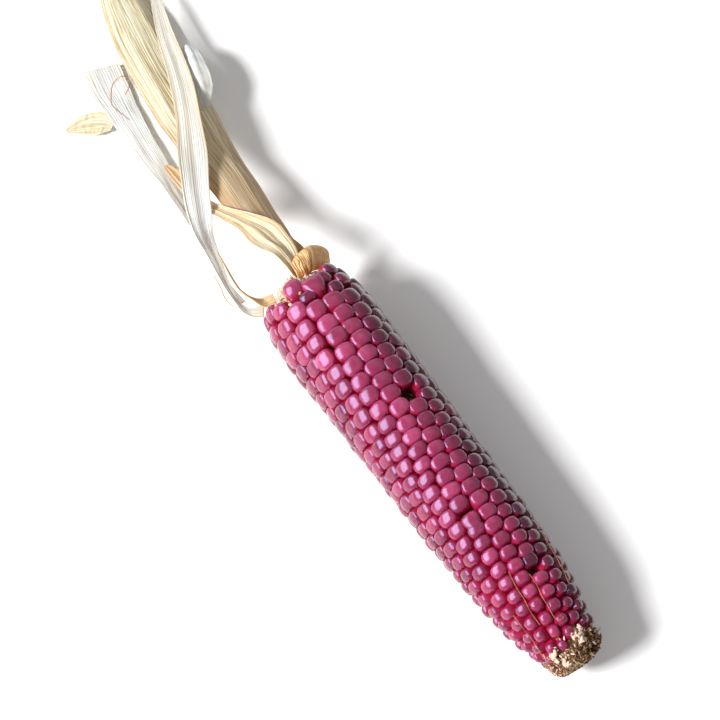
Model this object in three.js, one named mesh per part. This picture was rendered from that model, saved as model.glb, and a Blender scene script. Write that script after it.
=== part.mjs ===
// A dried ear of small-kernelled corn, lying on its side with its husk peeled back.
// Millimetres, +Z up. The ear lies along X with its tip towards +X and its husk towards -X,
// and the finished group's origin is the middle of its underside.
import * as THREE from "three";
import { mergeVertices } from "three/addons/utils/BufferGeometryUtils.js";

// The ear as a whole
const EAR_LENGTH = 151;
const ROW_COUNT = 16;
const KERNELS_PER_ROW = 29;
const WIDEST_RADIUS = 17.5;
const WIDEST_AT = 25;
const EAR_DROOP = 0.027; // the axis comes down by this much per millimetre, as the ear tapers
const GAP = 0.36; // clear space left between neighbouring pieces

// Crown radius of the kernels along the ear: [distance from the butt, radius]
const CROWN_PROFILE = [
  [0, 10.6],
  [4, 13.2],
  [9, 15.4],
  [16, 17.1],
  [25, WIDEST_RADIUS],
  [40, 17.1],
  [60, 16.6],
  [90, 16.1],
  [110, 15.4],
  [120, 14.8],
  [130, 13.7],
  [138, 12.0],
  [144, 10.4],
];

// Radius of the woody cob under the kernels, from the short cut end of its stalk at the butt
const COB_PROFILE = [
  [2.4, 4.2],
  [3.4, 5.2],
  [6, 7.4],
  [9.5, 9.6],
  [60, 9.8],
  [110, 8.8],
  [138, 7.2],
  [146, 6.2],
  [EAR_LENGTH, 4.6],
];
const COB_SIDES = 24;

// Turn of the rows about the axis as they run to the tip: [distance from the butt, degrees]
const ROW_TWIST = [
  [0, 0],
  [34, 0],
  [45, -8],
  [54, -12],
  [62, -15],
  [69, -21],
  [75, -27],
  [80, -35],
  [88, -46],
  [95, -49],
  [102, -50],
  [108, -56],
  [115, -60],
  [122, -64],
  [130, -70],
  [138, -75],
  [146, -79],
];
const FIRST_ROW_ANGLE = 11; // degrees from straight up, towards +Y
const ROW_START = 5.6;
const ROW_END = 143.5;
const ROW_STAGGER = 1.8; // every other row starts this much later
const BUTT_SPREAD = 0.12; // kernels at the butt are longer than the mean by this share
const SHOULDER_DROP = 1.3; // how far a kernel's shoulders lie below its crown
const VALLEY_DEPTH = 2.2; // how deep the dip is between two kernels of a row
const LEAST_HEIGHT = 2; // the least that a kernel stands above the cob
const SHOULDER_SHARE = 0.97; // how much of its row's width a kernel fills at its shoulders
const WAIST_SHARE = 0.86; // the same between two kernels of a row
const COB_REACH = 1.3; // the cob is looked at this far to each side of a kernel's foot

// Dry chaff of the flowers that set no grain, round the last of the cob
const CHAFF_START = 144;
const CHAFF_END = 149.6;
const CHAFF_RADII = [9.5, 9.8, 8.2];

// Loose silks in the furrows near the tip: degrees at the start and at the end of each
const SILK_RADIUS = 0.3;
const SILK_LIFT = 0.75;
const SILKS = [
  { name: "silk_right", from: 116, to: 132, turn: [47, 41] },
  { name: "silk_upper", from: 125, to: 140, turn: [0, -3] },
  { name: "silk_middle", from: 122, to: 136, turn: [-22, -28] },
  { name: "silk_lower", from: 133, to: 144, turn: [-52, -64] },
];

// Husk leaves, from the butt outwards. A station is [x, y, z, width, roll]: the roll turns the
// leaf about its own length, and positive roll lifts its left edge, seen from the butt.
const HUSK_THICKNESS = 0.8;
const LEAF_STEPS = 22;
const LEAF_STEPS_ACROSS = 2;
const LEAVES = [
  {
    name: "husk_main",
    color: 0xd9c08a,
    cup: -2.1,
    stations: [
      [1.6, 6.8, 23.6, 3.4, -20],
      [-3.2, 5.2, 25.4, 5.4, -4],
      [-8.3, 3.6, 25.0, 8.2, 10],
      [-20.5, 3.6, 21.9, 14.5, 18],
      [-39.1, 5.4, 17.2, 18.8, 20],
      [-56.7, 7.0, 14.0, 20.4, 19],
      [-73.6, 9.0, 11.2, 20.9, 16],
      [-102.8, 13.3, 8.2, 22.0, 12],
      [-122.0, 16.8, 6.4, 20.5, 9],
      [-138.0, 19.6, 4.4, 14.5, 6],
      [-149.0, 21.3, 2.6, 7.5, 4],
      [-155.0, 22.2, 1.2, 2.4, 0],
    ],
  },
  {
    name: "husk_twisted",
    color: 0xe6d2a6,
    cup: 0.8,
    stations: [
      [3.2, 1.6, 24.6, 3.4, 10],
      [1.6, 1.4, 27.6, 5.8, 24],
      [-3.4, 1.1, 29.8, 7.5, 20],
      [-11.5, -0.3, 29.0, 10.0, 4],
      [-19.7, -2.2, 27.0, 7.0, -8],
      [-27.2, -4.7, 24.1, 4.8, -4],
      [-35.8, -6.8, 19.3, 4.0, 2],
      [-46.8, -7.8, 14.8, 3.7, 6],
      [-55.8, -7.6, 12.2, 4.1, 4],
      [-62.4, -7.6, 9.0, 1.7, 0],
    ],
  },
  {
    name: "husk_ribbon",
    color: 0xe9e0c4,
    cup: 0.6,
    stations: [
      [3.5, -12.0, 13.0, 6.3, 26],
      [1.9, -14.7, 12.8, 5.4, 28],
      [-0.7, -16.4, 12.6, 3.5, 34],
      [-4.2, -17.0, 12.6, 2.2, 38],
      [-10.2, -16.5, 12.8, 2.7, 32],
      [-16.8, -15.6, 15.0, 3.8, 28],
      [-22.7, -14.6, 17.4, 5.1, 26],
      [-28.8, -13.6, 22.1, 7.2, 22],
      [-38.5, -9.3, 24.6, 8.8, 16],
      [-52.5, -1.9, 23.0, 9.7, 8],
      [-68.4, 6.1, 19.6, 8.3, 0],
      [-85.6, 13.4, 15.4, 7.8, 0],
      [-104.7, 19.5, 11.6, 5.9, 0],
      [-118.2, 24.4, 9.4, 4.2, 0],
      [-128.8, 28.3, 7.4, 1.8, 0],
    ],
  },
  {
    name: "husk_left",
    color: 0xefe9d4,
    cup: 0.7,
    stations: [
      [-6.2, -14.1, 6.0, 2.3, 20],
      [-14.9, -14.9, 7.2, 2.6, 30],
      [-27.8, -13.3, 8.4, 3.3, 34],
      [-41.7, -11.5, 7.6, 4.3, 32],
      [-55.9, -9.7, 5.6, 6.0, 24],
      [-67.7, -8.5, 4.0, 7.8, 14],
      [-80.1, -7.6, 3.3, 8.9, 8],
      [-93.0, -6.5, 2.8, 11.3, 5],
      [-104.3, -5.1, 2.5, 13.2, 4],
      [-113.1, -3.2, 2.4, 13.2, 3],
    ],
  },
  {
    name: "husk_under_tip",
    color: 0xe4d9b4,
    cup: 0.3,
    stations: [
      [-90.2, -12.3, 2.2, 3.4, 0],
      [-92.8, -14.3, 2.0, 8.2, 0],
      [-95.0, -17.1, 1.6, 9.3, 0],
      [-96.7, -20.5, 1.3, 7.5, 0],
      [-97.7, -23.9, 1.1, 4.1, 0],
      [-98.5, -26.2, 1.0, 1.4, 0],
    ],
  },
  {
    name: "husk_curl",
    color: 0xdfe0da,
    cup: -1.2,
    stations: [
      [-70.9, 14.1, 14.0, 3.4, -6],
      [-75.4, 15.9, 13.6, 6.4, -12],
      [-80.2, 17.9, 13.4, 8.8, -18],
      [-85.6, 19.5, 13.4, 8.8, -20],
      [-91.4, 21.4, 12.7, 7.5, -16],
      [-95.6, 22.6, 12.0, 4.8, -10],
      [-97.8, 23.3, 11.4, 2.1, -6],
    ],
  },
  {
    name: "husk_blade",
    color: 0xd8b777,
    cup: 0.3,
    stations: [
      [3.3, -7.5, 17.4, 4.0, 24],
      [2.8, -10.9, 17.0, 5.4, 30],
      [0.1, -13.2, 17.6, 2.5, 48],
      [-4.4, -15.1, 18.4, 1.7, 60],
      [-9.8, -15.1, 19.4, 1.6, 62],
      [-14.7, -14.6, 20.2, 1.2, 64],
      [-19.1, -14.2, 21.0, 0.7, 66],
    ],
  },
];

// The cuff: the doubled-over foot of a stout leaf that hugs the butt above and behind.
// A station is [turn about the ear in degrees from straight up, x, radius, width].
const CUFF_STEPS = 18;
const CUFF_COLOR = 0xb98a4c;
const CUFF_STATIONS = [
  [26, 2.5, 10.8, 5.6],
  [38, 2.0, 11.8, 7.0],
  [58, 1.9, 12.6, 7.0],
  [80, 2.0, 13.8, 6.4],
  [100, 2.2, 13.2, 5.0],
  [122, 2.4, 12.0, 3.2],
];
const CUFF_THICKNESS = 1.3;
const CUFF_LEAN = 56; // degrees that it leans from straight out of the ear towards the stalk

// Dry threads that cling to the husk
const THREAD_RADIUS = 0.3;
const THREADS = [
  {
    name: "silk_hook",
    route: [
      [-85.6, -7.6, 8.0],
      [-92.8, -9.7, 8.6],
      [-97.0, -7.9, 9.0],
      [-100.0, -5.6, 9.4],
      [-100.7, -1.4, 10.6],
      [-99.2, -0.3, 10.8],
      [-96.6, -0.3, 10.6],
      [-94.2, -4.0, 9.2],
    ],
  },
  {
    name: "husk_thread",
    route: [
      [-3.1, -19.0, 12.8],
      [-6.3, -20.0, 12.2],
      [-9.6, -19.9, 12.4],
      [-14.1, -19.0, 13.4],
      [-16.3, -18.9, 14.0],
    ],
  },
];

const KERNEL_COLOR = 0x8f2d55;
const COB_COLOR = 0xd8c39a;
const CHAFF_COLOR = 0xa27a45;
const SILK_COLOR = 0xc08a48;

function finish(color, roughness) {
  return new THREE.MeshStandardMaterial({ color, roughness, metalness: 0 });
}

// A smooth value along the ear, from a list of [distance, value]
function along(table) {
  const curve = new THREE.SplineCurve(table.map(([x, value]) => new THREE.Vector2(x, value)));
  const points = curve.getPoints(12 * table.length);
  return (x) => {
    const next = points.findIndex((point) => point.x >= x);
    if (next === 0) return points[0].y;
    if (next < 0) return points.at(-1).y;
    const a = points[next - 1];
    const b = points[next];
    return THREE.MathUtils.mapLinear(x, a.x, b.x, a.y, b.y);
  };
}

const crownRadius = along(CROWN_PROFILE);
const rowTwist = along(ROW_TWIST);

// The cob's flanks are straight between its named radii, so it stays clear of the rows
function cobRadius(x) {
  const next = Math.max(1, COB_PROFILE.findIndex(([at]) => at >= Math.min(x, EAR_LENGTH)));
  const [xa, ra] = COB_PROFILE[next - 1];
  const [xb, rb] = COB_PROFILE[next];
  return THREE.MathUtils.mapLinear(x, xa, xb, ra, rb);
}

// A point at a distance along the ear, an angle from straight up (radians) and a radius
function onEar(x, angle, radius) {
  const axisHeight = WIDEST_RADIUS - EAR_DROOP * (x - WIDEST_AT);
  return new THREE.Vector3(x, radius * Math.sin(angle), axisHeight + radius * Math.cos(angle));
}

// Moves every vertex of a closed geometry and drops what no longer fits it
function reshape(geometry, place) {
  geometry.deleteAttribute("normal");
  geometry.deleteAttribute("uv");
  const position = geometry.getAttribute("position");
  const vertex = new THREE.Vector3();
  for (let i = 0; i < position.count; i += 1) {
    vertex.fromBufferAttribute(position, i);
    const placed = place(vertex.clone());
    position.setXYZ(i, placed.x, placed.y, placed.z);
  }
  const merged = mergeVertices(geometry, 1e-4);
  merged.computeVertexNormals();
  return merged;
}

function named(name, geometry, material) {
  const mesh = new THREE.Mesh(geometry, material);
  mesh.name = name;
  return mesh;
}

// The woody cob with the short cut end of its stalk: one turned solid, slightly tilted as the ear lies
function cob() {
  const profile = COB_PROFILE.map(([x, radius]) => new THREE.Vector2(radius, x));
  profile.unshift(new THREE.Vector2(0, COB_PROFILE[0][0]));
  profile.push(new THREE.Vector2(0, EAR_LENGTH));
  const turned = new THREE.LatheGeometry(profile, COB_SIDES);
  const laid = reshape(turned, (v) => onEar(v.y, Math.atan2(-v.x, v.z), Math.hypot(v.x, v.z)));
  return named("cob", laid, finish(COB_COLOR, 0.85));
}

// One row of kernels, joined at their feet into one closed strip.
// A five-sided tube is bent to it: two corners on the cob, two shoulders and one crown.
function kernelRow(index) {
  const sides = 5;
  const stations = 2 * KERNELS_PER_ROW;
  const start = ROW_START + (index % 2) * ROW_STAGGER;
  const middle = THREE.MathUtils.degToRad(FIRST_ROW_ANGLE + (index * 360) / ROW_COUNT);
  const halfRow = Math.PI / ROW_COUNT;
  const tube = new THREE.CylinderGeometry(1, 1, stations, sides, stations);

  const bent = reshape(tube, (v) => {
    const step = Math.round(v.y + stations / 2);
    const share = step / stations;
    const spread = BUTT_SPREAD * share * (1 - share);
    const x = THREE.MathUtils.lerp(start, ROW_END, share + spread);
    const fullness = step % 2; // 1 at the middle of a kernel, 0 between two kernels
    const widestCob = Math.max(cobRadius(x - COB_REACH), cobRadius(x + COB_REACH));
    const foot = (widestCob + GAP) / Math.cos(halfRow);
    const height = crownRadius(x) - (1 - fullness) * VALLEY_DEPTH - foot;
    const crown = foot + Math.max(LEAST_HEIGHT, height);
    const shoulder = crown - SHOULDER_DROP;
    const filled = fullness ? SHOULDER_SHARE : WAIST_SHARE;
    const halfFoot = halfRow - GAP / 2 / foot;
    const halfShoulder = (halfRow - GAP / 2 / shoulder) * filled;
    const corners = [
      [0, crown],
      [halfShoulder, shoulder],
      [halfFoot, foot],
      [-halfFoot, foot],
      [-halfShoulder, shoulder],
    ];
    const onAxis = Math.hypot(v.x, v.z) < 0.5;
    const corner = Math.round((Math.atan2(-v.x, v.z) / (2 * Math.PI)) * sides + sides) % sides;
    const [turn, radius] = onAxis ? [0, (crown + foot) / 2] : corners[corner];
    const twist = THREE.MathUtils.degToRad(rowTwist(x));
    return onEar(x, middle + twist + turn, radius);
  });
  const name = "kernel_row_" + String(index + 1).padStart(2, "0");
  return named(name, bent, finish(KERNEL_COLOR, 0.25));
}

// The crumbly ring of chaff that closes the ear round the end of the cob
function tipChaff() {
  const middle = (CHAFF_START + CHAFF_END) / 2;
  const outer = [CHAFF_START, middle, CHAFF_END].map(
    (x, i) => new THREE.Vector2(CHAFF_RADII[i], x),
  );
  const inner = [CHAFF_END, 146, CHAFF_START].map((x) => new THREE.Vector2(cobRadius(x) + GAP, x));
  const ring = [...outer, ...inner, outer[0].clone()];
  const turned = new THREE.LatheGeometry(ring, COB_SIDES);
  const laid = reshape(turned, (v) => onEar(v.y, Math.atan2(-v.x, v.z), Math.hypot(v.x, v.z)));
  return named("tip_chaff", laid, finish(CHAFF_COLOR, 0.95));
}

// A round thread along a route
function thread(name, route, radius) {
  const section = new THREE.Shape().absarc(0, 0, radius, 0, 2 * Math.PI);
  const geometry = new THREE.ExtrudeGeometry(section, {
    extrudePath: new THREE.CatmullRomCurve3(route),
    steps: 4 * route.length,
    curveSegments: 3,
    bevelEnabled: false,
  });
  return named(name, reshape(geometry, (v) => v), finish(SILK_COLOR, 0.7));
}

function tipSilk({ name, from, to, turn }) {
  const points = 5;
  const route = [];
  for (let i = 0; i < points; i += 1) {
    const share = i / (points - 1);
    const x = THREE.MathUtils.lerp(from, to, share);
    const angle = THREE.MathUtils.degToRad(THREE.MathUtils.lerp(turn[0], turn[1], share));
    route.push(onEar(x, angle, crownRadius(x) + SILK_LIFT));
  }
  return thread(name, route, SILK_RADIUS);
}

// A husk leaf: a flat bar whose length follows the leaf's curve, rolled and cupped on the way
function huskLeaf({ name, color, cup, stations }) {
  const middleLine = new THREE.CatmullRomCurve3(
    stations.map(([x, y, z]) => new THREE.Vector3(x, y, z)),
  );
  const manner = new THREE.CatmullRomCurve3(
    stations.map(([, , , width, roll]) => new THREE.Vector3(width, roll, 0)),
  );
  const bar = new THREE.BoxGeometry(1, 1, 1, LEAF_STEPS, LEAF_STEPS_ACROSS, 1);
  const up = new THREE.Vector3(0, 0, 1);

  const bent = reshape(bar, (v) => {
    const share = v.x + 0.5;
    const [width, roll] = manner.getPoint(share).toArray();
    const tangent = middleLine.getTangent(share);
    const side = new THREE.Vector3().crossVectors(up, tangent).normalize();
    side.applyAxisAngle(tangent, THREE.MathUtils.degToRad(roll));
    const face = new THREE.Vector3().crossVectors(tangent, side);
    const cupped = (cup * width * (4 * v.y * v.y - 0.5)) / 10;
    return middleLine
      .getPoint(share)
      .addScaledVector(side, v.y * width)
      .addScaledVector(face, v.z * HUSK_THICKNESS + cupped);
  });
  return named(name, bent, finish(color, 0.8));
}

// The cuff is bent round the butt instead of along a route
function huskCuff() {
  const stations = new THREE.CatmullRomCurve3(
    CUFF_STATIONS.map(([turn, x, radius]) => new THREE.Vector3(turn, x, radius)),
  );
  const widths = new THREE.CatmullRomCurve3(
    CUFF_STATIONS.map(([, , , width]) => new THREE.Vector3(width, 0, 0)),
  );
  const bar = new THREE.BoxGeometry(1, 1, 1, CUFF_STEPS, LEAF_STEPS_ACROSS, 1);
  const lean = THREE.MathUtils.degToRad(CUFF_LEAN);
  const bent = reshape(bar, (v) => {
    const share = v.x + 0.5;
    const [turn, x, radius] = stations.getPoint(share).toArray();
    const across = v.y * widths.getPoint(share).x;
    const through = v.z * CUFF_THICKNESS;
    const angle = THREE.MathUtils.degToRad(turn);
    const out = across * Math.cos(lean) + through * Math.sin(lean);
    const back = across * Math.sin(lean) - through * Math.cos(lean);
    return onEar(x - back, angle, radius + out);
  });
  return named("husk_cuff", bent, finish(CUFF_COLOR, 0.75));
}

const ear = new THREE.Group();
ear.add(cob());
for (let i = 0; i < ROW_COUNT; i += 1) {
  ear.add(kernelRow(i));
}
ear.add(tipChaff());
SILKS.forEach((silk) => ear.add(tipSilk(silk)));
LEAVES.forEach((leaf) => ear.add(huskLeaf(leaf)));
ear.add(huskCuff());
THREADS.forEach(({ name, route }) => {
  const points = route.map(([x, y, z]) => new THREE.Vector3(x, y, z));
  ear.add(thread(name, points, THREAD_RADIUS));
});

// The origin goes to the middle of the underside
const box = new THREE.Box3().setFromObject(ear, true);
const middle = box.getCenter(new THREE.Vector3());
ear.position.set(-middle.x, -middle.y, -box.min.z);

const group = new THREE.Group();
group.add(ear);

export default group;
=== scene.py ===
import math
import random
import bmesh
import bpy
from mathutils import Matrix, Vector, noise


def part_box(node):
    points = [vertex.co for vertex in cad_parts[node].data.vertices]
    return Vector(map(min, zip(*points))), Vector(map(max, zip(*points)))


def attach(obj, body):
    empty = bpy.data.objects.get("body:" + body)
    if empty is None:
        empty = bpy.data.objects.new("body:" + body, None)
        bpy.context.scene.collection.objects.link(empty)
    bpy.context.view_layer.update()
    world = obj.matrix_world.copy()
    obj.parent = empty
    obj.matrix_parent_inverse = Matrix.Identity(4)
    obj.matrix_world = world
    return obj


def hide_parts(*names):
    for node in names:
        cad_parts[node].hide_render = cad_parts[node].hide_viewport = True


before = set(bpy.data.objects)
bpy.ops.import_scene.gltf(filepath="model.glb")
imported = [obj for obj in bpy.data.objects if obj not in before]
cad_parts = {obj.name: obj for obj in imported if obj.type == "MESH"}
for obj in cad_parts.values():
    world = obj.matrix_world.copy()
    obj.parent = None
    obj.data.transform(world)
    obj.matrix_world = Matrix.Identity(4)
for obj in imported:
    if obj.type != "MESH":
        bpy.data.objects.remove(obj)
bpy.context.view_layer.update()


# The camera
# It looks down on the lying ear from beyond its tip and a little to the right of it,
# from about half a metre, through a short portrait lens. The lengths are millimetres in
# the ear's own frame: X along it from the butt, Y to its left, Z up from what it lies on.
MM = 0.001
AXIS_FALL = 0.027
WIDEST_RADIUS = 17.5
WIDEST_AT = 25.0
COB_START = 2.4
COB_SHOULDER_AT = 9.5
COB_SHOULDER_RADIUS = 9.6
COB_END = 151.0
VIEW_TURN = math.radians(54.96)
VIEW_RISE = math.radians(65)
VIEW_DISTANCE = 546.7
AIMED_AT = Vector((29.8, 6.78, 0))
LENS = 85
SENSOR_WIDTH = 36


def axis_height(x):
    """The ear tapers, so its axis comes down towards the tip."""
    return WIDEST_RADIUS - AXIS_FALL * (x - WIDEST_AT)


cob_corner, cob_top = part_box("cob")
ear_origin = Vector((
    cob_corner.x - COB_START * MM,
    (cob_corner.y + cob_top.y) / 2,
    cob_top.z - (axis_height(COB_SHOULDER_AT) + COB_SHOULDER_RADIUS) * MM,
))
ear_place = Matrix.Translation(ear_origin) @ Matrix.Scale(MM, 4)

toward_camera = Vector((
    math.sin(VIEW_TURN) * math.cos(VIEW_RISE),
    -math.cos(VIEW_TURN) * math.cos(VIEW_RISE),
    math.sin(VIEW_RISE),
))
camera = bpy.data.objects.new("camera", bpy.data.cameras.new("camera"))
camera.data.lens = LENS
camera.data.sensor_width = SENSOR_WIDTH
camera.location = ear_place @ (AIMED_AT + VIEW_DISTANCE * toward_camera)
camera.rotation_euler = toward_camera.to_track_quat("Z", "Y").to_euler()
bpy.context.scene.collection.objects.link(camera)
bpy.context.scene.camera = camera


# The cob
# The dry woody core that the kernels stand on, light straw colour and rough, with the short
# cut end of its stalk at the butt. It is turned from its profile and then roughened.
COB_PROFILE = [
    (COB_START, 4.2), (3.4, 5.2), (6, 7.4), (COB_SHOULDER_AT, COB_SHOULDER_RADIUS), (60, 9.8),
    (110, 8.8), (138, 7.2), (146, 6.2), (COB_END, 4.6),
]
COB_STEPS_ROUND = 64
LONGEST_STEP = 20
CUTS_IN_LONG_STEP = 20
MERGED_BELOW = 0.001
COB_ROUGHNESS = 0.35
COB_SEED = 1
LUMPS_PER_MM = 0.9
PITH_GRAIN = 1.11
PITH_RELIEF = 0.3
# How far along the ear the cob is painted dark red under the kernels, a painted shade of the
# furrows between them, as (distance along the ear, share)
PAINTED_FURROW_SHADE = [(9, 0), (12, 1), (141, 1), (144, 0)]


def linear(hex_colour):
    """An sRGB hex colour such as "C8A060" as the linear colour that a shader takes."""
    parts = [int(hex_colour[i:i + 2], 16) / 255 for i in (0, 2, 4)]
    bright = [p / 12.92 if p <= 0.04045 else ((p + 0.055) / 1.055) ** 2.4 for p in parts]
    return (*bright, 1.0)


def add_node(tree, kind, inputs=None, stops=None, **settings):
    """Adds a shader node. An input is a value, or the output socket that feeds it."""
    node = tree.nodes.new("ShaderNode" + kind)
    for name, value in settings.items():
        setattr(node, name, value)
    for name, value in (inputs or {}).items():
        if isinstance(value, bpy.types.NodeSocket):
            tree.links.new(value, node.inputs[name])
        else:
            node.inputs[name].default_value = value
    if stops:
        ramp = node.color_ramp.elements
        while len(ramp) < len(stops):
            ramp.new(0.5)
        for element, (place, colour) in zip(ramp, stops):
            element.position = place
            element.color = linear(colour)
    return node


def new_material(name):
    """An empty material with its output and its main shader, and the tree to add to."""
    material = bpy.data.materials.new(name)
    material.use_nodes = True
    tree = material.node_tree
    shader = next(node for node in tree.nodes if node.type == "BSDF_PRINCIPLED")
    return material, tree, shader


def scale_of(size):
    """The scale of a pattern on object coordinates whose marks are so many millimetres wide."""
    return 1 / (size * MM)


def along(table, x):
    """The value at x on a line through a table of (x, value)."""
    if x <= table[0][0]:
        return table[0][1]
    for (x1, v1), (x2, v2) in zip(table, table[1:]):
        if x <= x2:
            return v1 + (v2 - v1) * (x - x1) / (x2 - x1)
    return table[-1][1]


def add_piece(name, shape, material, replaced=()):
    """Makes a shape, in the ear's own millimetres, a finished piece of the object."""
    bmesh.ops.recalc_face_normals(shape, faces=shape.faces)
    shape.transform(ear_place)
    mesh = bpy.data.meshes.new(name)
    shape.to_mesh(mesh)
    shape.free()
    mesh.shade_smooth()
    mesh.materials.append(material)
    piece = bpy.data.objects.new(name, mesh)
    bpy.context.scene.collection.objects.link(piece)
    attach(piece, "root")
    for node in replaced:
        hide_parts(node)
    return piece


def woody_pith():
    """Dry cob: straw-coloured pith, matt, with a fine spongy grain, and painted dark red where
    the kernels stand on it, a painted shade of the furrows between them."""
    material, tree, shader = new_material("woody_pith")
    place = add_node(tree, "TexCoord").outputs["Object"]
    grain = add_node(
        tree, "TexNoise", {"Vector": place, "Scale": scale_of(PITH_GRAIN), "Detail": 4.0},
    )
    colour = add_node(
        tree, "ValToRGB", {"Fac": grain.outputs["Fac"]},
        stops=[(0.3, "8A6636"), (0.5, "C9AE7C"), (0.7, "E8D9B4")],
    )
    bump = add_node(
        tree, "Bump",
        {"Height": grain.outputs["Fac"], "Strength": 0.6, "Distance": PITH_RELIEF * MM},
    )
    painted_furrow_shade = add_node(tree, "Attribute", attribute_name="painted_furrow_shade").outputs["Fac"]
    # Painted shade: the cob turns dark red under the kernels, standing in for the shaded furrows
    # between them
    with_painted_furrow_shade = add_node(
        tree, "Mix", {"Factor": painted_furrow_shade, "A": colour.outputs["Color"], "B": linear("6E1630")},
        data_type="RGBA",
    )
    tree.links.new(with_painted_furrow_shade.outputs[2], shader.inputs["Base Color"])
    tree.links.new(bump.outputs["Normal"], shader.inputs["Normal"])
    shader.inputs["Roughness"].default_value = 0.85
    return material


pith = woody_pith()
cob = bmesh.new()
outline_radii = [(COB_START, 0), *COB_PROFILE, (COB_END, 0)]
outline = [cob.verts.new((x, 0, radius)) for x, radius in outline_radii]
edges = [cob.edges.new(pair) for pair in zip(outline, outline[1:])]
bmesh.ops.spin(
    cob, geom=outline + edges, axis=(1, 0, 0), cent=(0, 0, 0),
    angle=2 * math.pi, steps=COB_STEPS_ROUND, use_merge=True,
)
bmesh.ops.remove_doubles(cob, verts=cob.verts, dist=MERGED_BELOW)
long_edges = [edge for edge in cob.edges if edge.calc_length() > LONGEST_STEP]
bmesh.ops.subdivide_edges(cob, edges=long_edges, cuts=CUTS_IN_LONG_STEP)
painted_furrow_shade = cob.verts.layers.float.new("painted_furrow_shade")
# noise_vector is seeded from the clock unless a seed is set.
noise.seed_set(COB_SEED)
for vert in cob.verts:
    # Painted shade of the furrows: how dark red the cob is painted at this place along the ear
    vert[painted_furrow_shade] = along(PAINTED_FURROW_SHADE, vert.co.x)
    vert.co.z += axis_height(vert.co.x)
    vert.co += COB_ROUGHNESS * noise.noise_vector(vert.co * LUMPS_PER_MM)
add_piece("woody_cob", cob, pith, replaced=["cob"])


# The kernels
# Sixteen rows of small hard kernels, each a glossy pillow with a pink to purple skin over
# pale starch. They grow pressed shoulder to shoulder, so each is as long as its place in
# the row lets it be, and light that enters one comes out of it reddened.
ROW_COUNT = 16
FIRST_ROW_ANGLE = 11.0
# How many degrees the rows have drifted round at a distance along the ear
ROW_TWIST = [
    (34, 0), (45, -8), (54, -12), (62, -15), (69, -21), (75, -27), (80, -35), (88, -46),
    (95, -49), (102, -50), (108, -56), (115, -60), (122, -64), (130, -70), (138, -75), (146, -79),
]
# The radius over the crowns, and then the way from one kernel to the next
CROWN_PROFILE = [
    (0, 10.6), (4, 13.2), (9, 15.4), (16, 17.1), (25, 17.5), (40, 17.1), (60, 16.6),
    (90, 16.1), (110, 15.4), (120, 14.8), (130, 13.7), (138, 12.0), (144, 10.4), (151, 8.4),
]
KERNEL_PITCH = [(10, 5.6), (30, 5.2), (58, 5.1), (66, 4.55), (85, 4.4), (140, 4.25)]
# Where the first and the last regular kernel of each row stand
FIRST_KERNEL = [
    21.2, 22.2, 19.8, 10.5, 8.0, 9.6, 7.6, 9.4, 7.8, 9.2, 7.6, 9.4, 15.6, 18.2, 40.8, 20.9,
]
LAST_KERNEL = [
    147, 144.5, 146, 143, 142.6, 144, 145, 145, 145, 145, 145, 145, 145, 146, 147, 147.5,
]
# A kernel's height above its shoulder and its depth below it
DOME_HEIGHT = 1.7
KERNEL_DEPTH = 5.0
PRESSED_PLAN = 7.0
FOOT_SPREAD = 1.06
LEAN_SHARE = 0.8
# How much one kernel differs from the next
PITCH_SPREAD = 0.08
ANGLE_SPREAD = 0.9
LENGTH_SHARE = 1.08
WIDTH_RANGE = (1.09, 1.16)
LIFT_RANGE = (-0.35, 0.2)
TAPER_SPREAD = 0.1
TURN_SPREAD = 7
PLAN_RANGE = (2.3, 2.9)
PROFILE_RANGE = (2.4, 2.9)
TONE_SPREAD = 0.1
# From here on towards the tip some kernels stay low, and more so after each such length
LOW_FROM = 128
LOW_OVER = 16
LOW_BY = 0.5
# The tone is pink on the side of the ear that faces the sunlight and darkens to purple round to
# the side turned from it, a painted shade laid over the skin's colour, as (degrees from straight
# up, tone)
TONE_WITH_PAINTED_SHADE = [
    (-60, 0.46), (-35, 0.5), (-10, 0.54), (15, 0.5), (32, 0.3), (50, 0.16), (120, 0.15),
    (200, 0.38), (300, 0.44),
]
# How far the domes draw in above their feet, as (distance along the ear, share)
PINCH = [(0, 0.0), (95, 0.03), (118, 0.16), (144, 0.3)]
# The row and the place of the one kernel that fell out
MISSING = (1, 59.4)
SKIN_SEED = 11
SKIN_MOTTLE = 2.38
SKIN_RIPPLE = 1.43
RIPPLE_RELIEF = 0.12
# The skin is the crown's above the first height on a kernel and the flank's below the second;
# the flank's brighter red is partly the skin's own and partly a painted glow in the shaded furrows
CROWN_ABOVE = 0.6
FLANK_BELOW = -0.2
# The pale scar on each kernel's shoulder, in shares of its half size
SCAR_AT = (0.92, 0.42, 0.45)
SCAR_RADIUS = 0.13
SCAR_CORE = 0.05
GLOW_DEPTH = 2.2
ROUNDING_LEVELS = 2
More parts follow.
